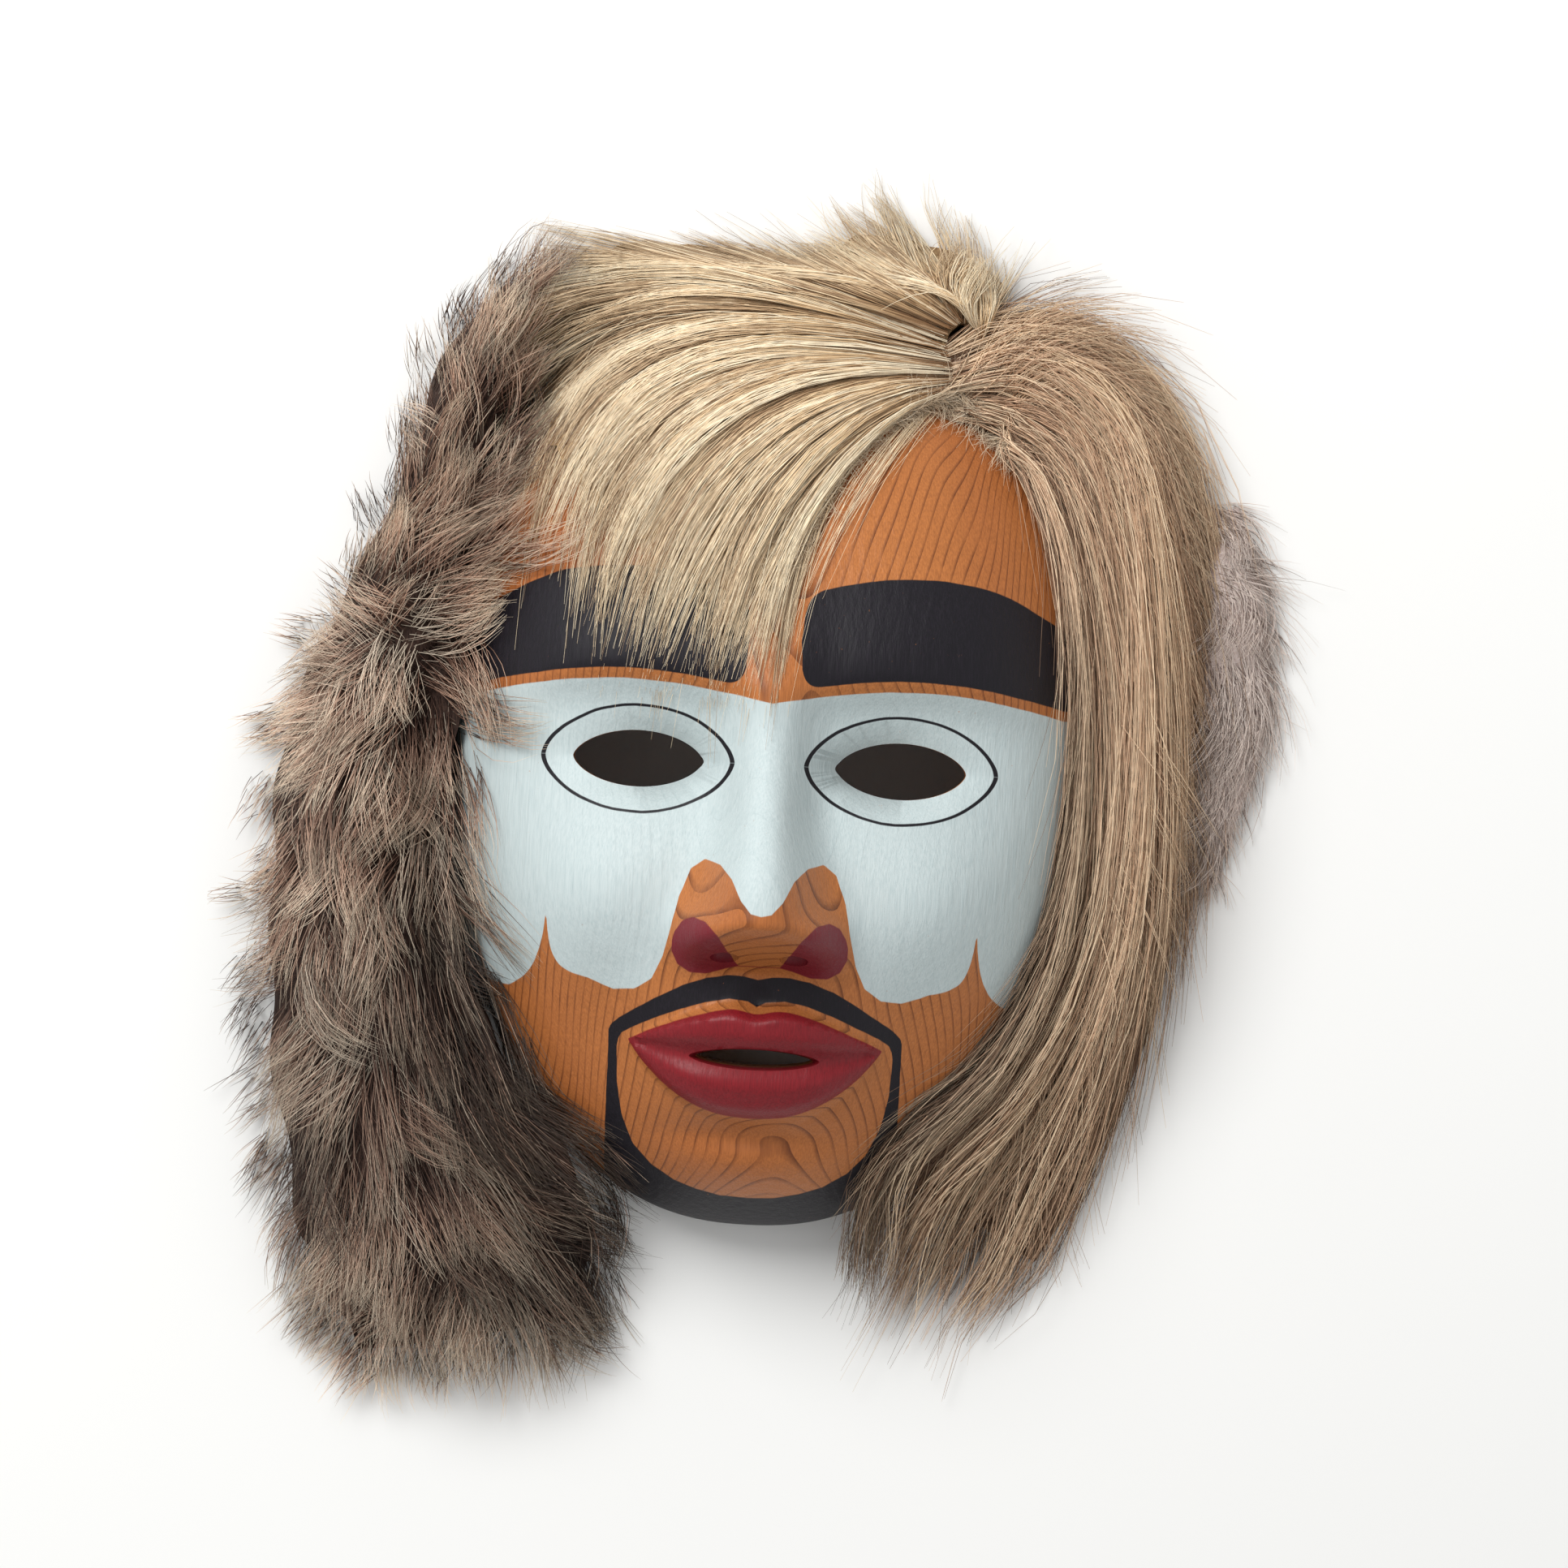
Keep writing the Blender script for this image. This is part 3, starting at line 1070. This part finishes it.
def combedFringe():
    rng = np.random.default_rng(fringe["seed"])
    count = fringe["strands"]
    layer = rng.integers(0, fringe["layers"], count)
    rootSpread, tipFrom, tipSpan, layerLoft = (
        np.array(fringe[name])[layer] for name in ("rootSpread", "tipFrom", "tipSpan", "layerLoft"))
    across = rng.random(count)
    lock, middle = lockOf(across, fringe["locks"], 0.37 * layer)
    fineMiddle = lockOf(across, fringe["fineLocks"], 0.61 * layer)[1]
    luck = luckOf(fringe["seed"] + 1, (200, 4), lock * 7 + layer * 31)
    start = rng.random(count) * rootSpread
    end = tipFrom + tipSpan * luck[:, 0] + 0.055 * rng.standard_normal(count)
    end = end + 0.16 * (luck[:, 1] - 0.5) * smoothStep(0.55, 0.8, across)
    s = np.linspace(0, 1, fringe["points"])[None, :]
    # strands draw together into locks and fine locks towards their tips
    spread = across[:, None] + (middle - across)[:, None] * fringe["lockPull"] * s ** 2.4
    spread = spread + (fineMiddle - across)[:, None] * fringe["finePull"] * s ** 3
    x, y = fringePlan(np.clip(spread, 0, 1), start[:, None] + (end - start)[:, None] * s)
    stray = np.where(rng.random(count) < fringe["strayShare"], fringe["straySize"], 1.0)
    lively = 0.010 + 0.016 * smoothStep(0.50, 0.75, across)
    for axis, plan in ((0, x), (1, y)):
        shake = rng.standard_normal(count) * fringe["tipShake"] * stray
        plan += s ** 2 * ((luck[:, 1 + axis] - 0.5) * lively + shake)[:, None]
    turns = s * (3.0 + 4.0 * luck[:, 0])[:, None] + 6.0 * luck[:, 3][:, None]
    wave = fringe["wave"] * (luck[:, 2] - 0.5)[:, None] * np.sin(turns)
    x, y = x + wave, y + 0.6 * wave
    edge = smoothStep(0.0, 0.10, across) * (1.0 - 0.5 * smoothStep(0.92, 1.0, across))
    lift = layerLoft * (0.35 + 0.65 * edge) * (0.7 + 0.5 * luck[:, 3]) + 0.0006 * rng.random(count) * stray
    rise, fall = 0.35 + 0.65 * smoothStep(0, 0.3, s), 1.0 - 0.55 * smoothStep(0.6, 1.0, s)
    loft = lift[:, None] * rise * fall + 0.0005
    paths = layDown(x, y, loft, [trees["fringe"], trees["shaggy"]], np.where(across > 0.5, 0.95, 0.55))
    tint = np.clip(0.5 + (luck[:, 3] - 0.5) * 0.8 + 0.30 * rng.standard_normal(count), 0, 1)
    shade = 0.40 * (1 - layer / 3.0) * rng.random(count)
    return paths, unevenWidth(rng, fringe["radius"], count), tint, shade


# long straight hair hanging down the side, rooted along the mask's edge
curtain = {
    "strands": 5900, "points": 7, "seed": 23, "layers": 3, "locks": 12, "fineLocks": 46, "radius": 0.00020,
    "partingShare": 0.38, "fallShare": 0.22, "length": (0.22, 0.50), "fallLength": 0.50, "lift": 0.0085,
    "layerLift": (0.30, 0.75, 1.25), "layerShade": (0.50, 0.18, 0.0), "lockPull": 0.72, "finePull": 0.18,
    "strayShare": 0.10, "straySize": 3.8, "tipShake": 0.0016, "sway": 0.30,
}


def combedCurtain():
    rng = np.random.default_rng(curtain["seed"])
    count = curtain["strands"]
    kind = rng.random(count)
    atParting = kind < curtain["partingShare"]
    # some of it sweeps out and down over the steep outer side
    falling = kind > 1.0 - curtain["fallShare"]
    start = np.where(atParting, 0.22 * rng.random(count) ** 1.5 - 0.012, 0.15 + 0.70 * rng.random(count))
    start = np.where(falling, 0.78 * rng.random(count) ** 1.3 - 0.02, start)
    across = rng.random(count)
    across = np.where(falling, 0.72 + 0.29 * across, across)
    layer = rng.integers(0, curtain["layers"], count)
    lock, middle = lockOf(across, curtain["locks"], 0.37 * layer)
    fineMiddle = lockOf(across, curtain["fineLocks"], 0.61 * layer)[1]
    band = np.floor(start * 7).astype(int)
    luck = luckOf(curtain["seed"] + 1, (400, 5), lock * 7 + layer * 31 + band * 53)
    length = inRange(curtain["length"], luck[:, 0]) * (0.90 + 0.20 * rng.random(count))
    length = np.where(falling, curtain["fallLength"] * length, length)
    length = np.minimum(length, 0.94 + 0.16 * luck[:, 1] ** 2 - start)
    s = np.linspace(0, 1, curtain["points"])[None, :]
    tip = across[:, None] + (middle - across)[:, None] * curtain["lockPull"] * s ** 2
    tip = (tip + (fineMiddle - across)[:, None] * curtain["finePull"] * s ** 3) * 2.12 - 1.04
    # rooted nearer the mask than it ends
    spread = tip - np.where(falling, 0.80, 0.30)[:, None] * (tip + 0.95) * (1.0 - s) ** 1.3
    fan = np.where(across > 0.66, 0.55, 0.0) * luck[:, 1] + np.where(across < 0.12, -0.18, 0.0) * luck[:, 2]
    sway = curtain["sway"] * (luck[:, 2] - 0.5)
    spread = spread + fan[:, None] * s ** 2.5 + sway[:, None] * np.sin(s * 5.0)
    x, y = onStrip(curtainStrip, spread, start[:, None] + length[:, None] * s)[:2]
    stray = np.where(rng.random(count) < curtain["strayShare"], curtain["straySize"], 1.0)
    for plan in (x, y):
        plan += s ** 2 * (rng.standard_normal(count) * curtain["tipShake"] * stray)[:, None]
    lift = curtain["lift"] * (0.35 + 0.9 * luck[:, 3]) * (0.7 + 0.5 * rng.random(count)) * np.sqrt(stray)
    lift = lift * np.array(curtain["layerLift"])[layer]
    loft = lift[:, None] * (1.0 - (1.0 - s) ** 1.6) * (1.0 - 0.25 * smoothStep(0.7, 1.0, s)) + 0.0005
    paths = layDown(x, y, loft, [trees["curtain"], trees["fringe"]], np.where(falling, 0.95, 0.60))
    low = smoothStep(0.50, 1.0, start + 0.7 * length)
    golden = np.exp(-((across - 0.42) / 0.18) ** 2) * (1 - low)
    tint = 0.60 + (luck[:, 3] - 0.5) * 1.3 + 0.26 * rng.standard_normal(count) - 0.10 * low + 0.10 * golden
    shade = 0.42 * smoothStep(0.30, 0.0, across) * smoothStep(0.1, 0.3, start) + 0.22 * low * luck[:, 4]
    deep = np.array(curtain["layerShade"])[layer] * rng.random(count) * (1.0 + 0.7 * low)
    shade = np.clip(shade + deep, 0, 0.88)
    return paths, unevenWidth(rng, curtain["radius"], count), np.clip(tint, 0, 1), shade


# shaggy guard hair in tufts that lap like shingles
shaggy = {
    "tiers": 33, "tuftGap": 0.0100, "hairs": 50, "points": 5, "seed": 37, "length": (0.024, 0.044),
    "radius": 0.00015, "gather": 0.0075, "tipGather": 0.58, "tipShake": 0.0012, "lift": 0.0095,
    "fillers": 26, "parting": 0.335,
}


def shaggyTufts():
    rng = np.random.default_rng(shaggy["seed"])
    roots = []
    for tier in range(shaggy["tiers"]):
        along = (tier + 0.2) / shaggy["tiers"] * 0.97 - 0.005
        reach = float(np.interp(along, np.linspace(0, 1, 240), shaggyStrip["reach"]))
        gap = shaggy["tuftGap"] / reach
        for value in np.arange(-1 + 0.5 * (tier % 2) * shaggy["tuftGap"] / reach, 1.0, gap):
            across = min(max(value + 0.10 * rng.standard_normal(), -0.98), 0.98)
            roots.append((across, along + 0.009 * rng.standard_normal()))
    for extra in range(shaggy["fillers"]):
        roots.append((1.2 * rng.random() - 0.6, shaggy["parting"] + 0.05 * rng.standard_normal()))
    across, along = np.array(roots).T
    return across, along, rng


def walk(x, y, runX, runY, aims, stride):
    # paths that turn a little at every step; a turn of 0 follows the strip, a quarter turn leads off it
    xs, ys = [x], [y]
    for aim in aims:
        headX = runX * np.cos(aim) + runY * np.sin(aim)
        headY = runY * np.cos(aim) - runX * np.sin(aim)
        xs.append(xs[-1] + headX * stride)
        ys.append(ys[-1] + headY * stride)
    return np.stack(xs, axis=1), np.stack(ys, axis=1)


def shaggyShade(rng, tuft, tuftAcross, tuftAlong, tuftTint, low):
    # dark hollows between the lumps, near black beside the jaw, single pale hairs over it
    jaw = smoothStep(0.0, 0.80, tuftAcross) * smoothStep(0.36, 0.60, tuftAlong) * (1.0 - 0.55 * low)
    jaw = jaw + 0.30 * np.exp(-((tuftAlong - 0.60) / 0.09) ** 2) * (1 - jaw)
    lumps = np.sin(tuftAlong * 41.0 + 2.6 * tuftAcross) * np.sin(tuftAlong * 17.0 - 3.1 * tuftAcross + 1.0)
    middle = smoothStep(0.50, 0.62, tuftAlong) * (1 - low)
    hollows = (0.28 + 0.32 * middle) * smoothStep(0.25, 0.85, lumps) * (1 - jaw) * (1 - low)
    dark = 0.95 * jaw + hollows + 0.26 * (tuftTint < 0.2)
    count = len(tuft)
    shade = dark[tuft] * (0.45 + 0.70 * rng.random(count)) * (rng.random(count) < 0.90)
    shade = shade + 0.06 * rng.random(count)
    return np.clip(shade + 0.26 * middle[tuft], 0, 0.9)


def combedShaggy():
    tuftAcross, tuftAlong, rng = shaggyTufts()
    tufts = len(tuftAcross)
    # the fur grows up and outwards near the crown, and down and outwards lower on
    inner = tuftAcross > 0.05
    inward = -3.14 + 1.15 * tuftAcross * smoothStep(0.06, 0.28, tuftAlong)
    crown = np.where(inner, inward, 3.14 + 0.62 * tuftAcross)
    hanging = 0.10 - np.where(inner, 0.70, 0.95) * tuftAcross
    upward = smoothStep(0.055, -0.055, tuftAlong - shaggy["parting"])
    # where the two ways part, tufts lie every way and shorter, so that no bare line shows
    muddle = np.exp(-((tuftAlong - shaggy["parting"]) / 0.05) ** 2)
    turn = hanging + (crown - hanging) * upward + (0.26 + 0.60 * muddle) * rng.standard_normal(tufts)
    length = inRange(shaggy["length"], rng.random(tufts))
    length = length * (0.72 + 0.34 * smoothStep(0.1, 0.6, tuftAlong)) * (1.0 - 0.22 * muddle)
    tuft = np.repeat(np.arange(tufts), shaggy["hairs"])
    count = len(tuft)
    x, y, runX, runY = onStrip(shaggyStrip, tuftAcross[tuft], np.clip(tuftAlong[tuft], 0, 1))
    angle = 2 * np.pi * rng.random(count)
    away = shaggy["gather"] * np.sqrt(rng.random(count))
    x, y = x + away * np.cos(angle), y + away * np.sin(angle)
    phi = turn[tuft] + 0.20 * rng.standard_normal(count)
    bend = (0.40 * rng.standard_normal(tufts))[tuft] + 0.20 * rng.standard_normal(count)
    s = np.linspace(0, 1, shaggy["points"])
    stride = length[tuft] * (0.60 + 0.50 * rng.random(count)) / (len(s) - 1)
    xs, ys = walk(x, y, runX, runY, [phi + bend * share for share in s[1:]], stride)
    # hairs of one tuft draw together towards its tip
    for plan in (xs, ys):
        mean = [np.bincount(tuft, plan[:, step], tufts) / shaggy["hairs"] for step in range(len(s))]
        plan += (np.stack(mean, axis=1)[tuft] - plan) * (shaggy["tipGather"] * s ** 1.3)[None, :]
        plan += s[None, :] ** 2 * rng.standard_normal(count)[:, None] * shaggy["tipShake"]
    lift = shaggy["lift"] * (0.55 + 0.8 * rng.random(tufts))[tuft] * (0.75 + 0.5 * rng.random(count))
    loft = lift[:, None] * (1.0 - (1.0 - s[None, :]) ** 1.8) * (1.0 - 0.25 * s[None, :] ** 2) + 0.0002
    paths = layDown(xs, ys, loft, [trees["shaggy"], trees["fringe"]], 0.30)
    tuftTint = rng.random(tufts)
    low = smoothStep(0.80, 0.97, tuftAlong)
    tint = 0.5 + 0.7 * (tuftTint[tuft] - 0.5) + 0.24 * rng.standard_normal(count) + 0.30 * low[tuft]
    shade = shaggyShade(rng, tuft, tuftAcross, tuftAlong, tuftTint, low)
    return paths, unevenWidth(rng, shaggy["radius"], count), np.clip(tint, 0, 1), shade


# thin wisps over pale underfur, pointing away from the mask
backTuft = {
    "strands": 1300, "points": 5, "seed": 51, "clumps": 20, "length": (0.016, 0.046), "radius": 0.00015,
    "darkShare": 0.22, "clumpPull": -0.06,
}


def combedBackTuft():
    rng = np.random.default_rng(backTuft["seed"])
    count = backTuft["strands"]
    along = rng.random(count) * 0.94 + 0.03
    clump, middle = lockOf(along, backTuft["clumps"], 0.0)
    luck = luckOf(backTuft["seed"] + 1, (60, 3), clump)
    across = 1.5 * rng.random(count) - 0.75
    s = np.linspace(0, 1, backTuft["points"])[None, :]
    shortest, longest = backTuft["length"]
    length = shortest + (longest - shortest) * luck[:, 0] * (0.6 + 0.5 * rng.random(count))
    x, y, runX, runY = onStrip(tuftStrip, across, along)
    phi = 1.1 - 0.9 * along + 0.9 * (luck[:, 1] - 0.5) + 0.24 * rng.standard_normal(count)
    phi = phi[:, None] - (0.35 + 0.9 * (luck[:, 2] - 0.5))[:, None] * s
    headX = runX[:, None] * np.cos(phi) - runY[:, None] * np.sin(phi)
    headY = runY[:, None] * np.cos(phi) + runX[:, None] * np.sin(phi)
    x = x[:, None] + headX * length[:, None] * s
    y = y[:, None] + headY * length[:, None] * s + (middle - along)[:, None] * backTuft["clumpPull"] * s ** 2
    loft = (0.0010 + 0.0030 * luck[:, 2] + 0.001 * rng.random(count))[:, None] * (1.0 - (1.0 - s) ** 2)
    paths = layDown(x, y, loft, [trees["tuft"], trees["curtain"]], 0.30)
    tint = 0.88 - 0.9 * (rng.random(count) < backTuft["darkShare"]) + 0.12 * rng.standard_normal(count)
    return paths, unevenWidth(rng, backTuft["radius"], count, 0.7, 0.5), np.clip(tint, 0, 1), np.zeros(count)


# soft short wool and a few long strays where the hide's edge meets bare wood
wool = {
    "strands": 1700, "points": 5, "seed": 67, "length": (0.005, 0.014), "radius": 0.00011,
    "strays": 40, "strayPoints": 12, "strayRadius": 0.00013,
}


def edgeWool():
    rng = np.random.default_rng(wool["seed"])
    count = wool["strands"]
    along = rng.random(count)
    onFringe = rng.random(count) < 0.6
    leftX, leftY = fringePlan(0.008 + 0.07 * rng.random(count), 0.75 * along ** 1.2)
    rightX, rightY = onStrip(curtainStrip, -0.96 + 0.18 * rng.random(count), 0.02 + 0.26 * along)[:2]
    x, y = np.where(onFringe, leftX, rightX), np.where(onFringe, leftY, rightY)
    heading = np.where(onFringe, -0.9, -2.3) + 0.8 * rng.standard_normal(count)
    curl = 1.6 * rng.standard_normal(count)
    long = inRange(wool["length"], rng.random(count) ** 2) * (1.15 - 0.6 * along)
    s = np.linspace(0, 1, wool["points"])
    xs, ys = [x], [y]
    for step in s[1:]:
        aim = heading + curl * step
        xs.append(xs[-1] + np.cos(aim) * long / (len(s) - 1))
        ys.append(ys[-1] + np.sin(aim) * long / (len(s) - 1))
    x, y = np.stack(xs, axis=1), np.stack(ys, axis=1)
    loft = (0.0012 + 0.0022 * rng.random(count))[:, None] * (0.4 + 0.6 * s[None, :])
    paths = layDown(x, y, loft, [trees["fringe"], trees["curtain"]], 0.4)
    tint = np.clip(0.5 + 0.25 * rng.standard_normal(count), 0, 1)
    return paths, unevenWidth(rng, wool["radius"], count), tint, np.zeros(count)


def strayHairs():
    rng = np.random.default_rng(wool["seed"] + 1)
    count = wool["strays"]
    s = np.linspace(0, 1, wool["strayPoints"])[None, :]
    across = 0.02 * rng.random(count)[:, None] + 0 * s
    x, y = fringePlan(across, (0.35 + 0.6 * rng.random(count))[:, None] * s)
    x = x + (0.004 + 0.016 * rng.random(count))[:, None] * s * (1.4 - s)
    y = y - (0.002 + 0.010 * rng.random(count))[:, None] * s ** 2
    x = x + 0.0016 * np.sin(s * (3 + 5 * rng.random(count))[:, None] + 6 * rng.random(count)[:, None]) * s
    loft = 0.0014 + 0.002 * rng.random(count)[:, None] * np.sin(np.pi * s)
    paths = layDown(x, y, loft, [trees["fringe"]], 0.6)
    return paths, np.full(count, wool["strayRadius"]), 0.6 + 0.3 * rng.random(count), np.zeros(count)


# each hair's colours from root to tip, then the light and the dark of its locks, and its roughness
hairColours = {
    "Pale long hair": (
        ((0.0, 154, 114, 78), (0.22, 226, 192, 146), (0.7, 252, 226, 186), (1.0, 246, 219, 180)),
        (255, 244, 216), (136, 102, 74), 0.42),
    "Tan long hair": (
        ((0.0, 146, 110, 82), (0.25, 222, 184, 151), (0.7, 238, 200, 166), (1.0, 220, 182, 150)),
        (255, 232, 198), (102, 74, 57), 0.42),
    "Grey brown guard hair": (
        ((0.0, 52, 35, 29), (0.30, 134, 99, 82), (0.62, 226, 184, 158), (1.0, 255, 236, 208)),
        (255, 240, 216), (70, 48, 40), 0.46),
    "Grey pink wisps": (
        ((0.0, 234, 212, 200), (0.5, 248, 227, 214), (1.0, 252, 236, 225)),
        (246, 236, 228), (84, 64, 56), 0.5),
    "Pale wool": (
        ((0.0, 196, 172, 140), (0.5, 222, 202, 172), (1.0, 234, 216, 190)),
        (246, 232, 208), (170, 146, 120), 0.6),
}
hairFinish = {}
for name, (stops, light, dark, dull) in hairColours.items():
    rootToTip = [(place, srgb(*colour)) for place, *colour in stops]
    hairFinish[name] = hairMaterial(name, rootToTip, srgb(*light), srgb(*dark), dull)


def plantHairs(title, strands, material, node, slotName, pieces):
    # one piece is kept well under two hundred thousand triangles
    paths, radius, tint, shade = strands
    share = np.arange(len(paths)) % pieces
    for piece in range(pieces):
        chosen = share == piece
        name = title if pieces == 1 else title + "AB"[piece]
        item = growHairs(name, paths[chosen], radius[chosen], tint[chosen], shade[chosen], material)
        settle(item, node, slotName)


for title, comb, finish, node, slotName, pieces in (
    ("fringeHair", combedFringe, "Pale long hair", "long_hair_pelt", "long_hair", 2),
    ("curtainHair", combedCurtain, "Tan long hair", "long_hair_pelt", "long_hair", 2),
    ("shaggyGuardHair", combedShaggy, "Grey brown guard hair", "shaggy_pelt_left", "shaggy_fur", 2),
    ("backTuftWisps", combedBackTuft, "Grey pink wisps", "shaggy_tuft_right", "pale_fur", 1),
    ("edgeWool", edgeWool, "Pale wool", "long_hair_pelt", "long_hair", 1),
    ("strayHairs", strayHairs, "Pale long hair", "long_hair_pelt", "long_hair", 1),
):
    plantHairs(title, comb(), hairFinish[finish], node, slotName, pieces)
print("hair ready")

# studio: pale floor, soft light, camera over the face
studio = {
    "floorSize": 6.0, "floorColour": srgb(236, 236, 234), "cameraHeight": 1.50, "frameWidth": 0.4637,
    "aim": (0.0045, 0.0007), "aimHeight": 0.045, "roll": math.radians(3.0),
    "keyPlace": (-0.75, 0.95, 1.35), "keySize": 1.1, "keyPower": 31.0,
    "fillPlace": (1.3, -0.5, 1.2), "fillSize": 1.6, "fillPower": 2.0, "skyStrength": 0.56,
}


def plainFloor():
    half = studio["floorSize"] / 2
    points = np.array([(-half, -half, 0.0), (half, -half, 0.0), (half, half, 0.0), (-half, half, 0.0)])
    floor = meshObject("paleFloor", points, [(0, 1, 2, 3)])
    material, tree, shader = newMaterial("Pale floor")
    shader.inputs["Base Color"].default_value = studio["floorColour"]
    shader.inputs["Roughness"].default_value = 0.8
    floor.data.materials.append(material)


def softLamp(name, place, size, power):
    lamp = bpy.data.lights.new(name, "AREA")
    lamp.shape = "DISK"
    lamp.size = size
    lamp.energy = power
    item = bpy.data.objects.new(name, lamp)
    item.location = place
    item.rotation_euler = (Vector((0, 0, 0.05)) - Vector(place)).to_track_quat("-Z", "Y").to_euler()
    bpy.context.scene.collection.objects.link(item)


def buildStudio():
    plainFloor()
    softLamp("keyLight", studio["keyPlace"], studio["keySize"], studio["keyPower"])
    softLamp("fillLight", studio["fillPlace"], studio["fillSize"], studio["fillPower"])
    world = bpy.data.worlds.new("softStudio")
    world.use_nodes = True
    world.node_tree.nodes["Background"].inputs[0].default_value = (1.0, 1.0, 1.0, 1.0)
    world.node_tree.nodes["Background"].inputs[1].default_value = studio["skyStrength"]
    bpy.context.scene.world = world
    camera = bpy.data.cameras.new("overheadCamera")
    camera.sensor_width = 36.0
    camera.lens = 36.0 * (studio["cameraHeight"] - studio["aimHeight"]) / studio["frameWidth"]
    item = bpy.data.objects.new("overheadCamera", camera)
    item.location = (centre[0] + studio["aim"][0], centre[1] + studio["aim"][1], studio["cameraHeight"])
    item.rotation_euler = (0.0, 0.0, studio["roll"])
    bpy.context.scene.collection.objects.link(item)
    bpy.context.scene.camera = item
    bpy.context.scene.view_settings.view_transform = "Standard"


buildStudio()
print("studio ready")
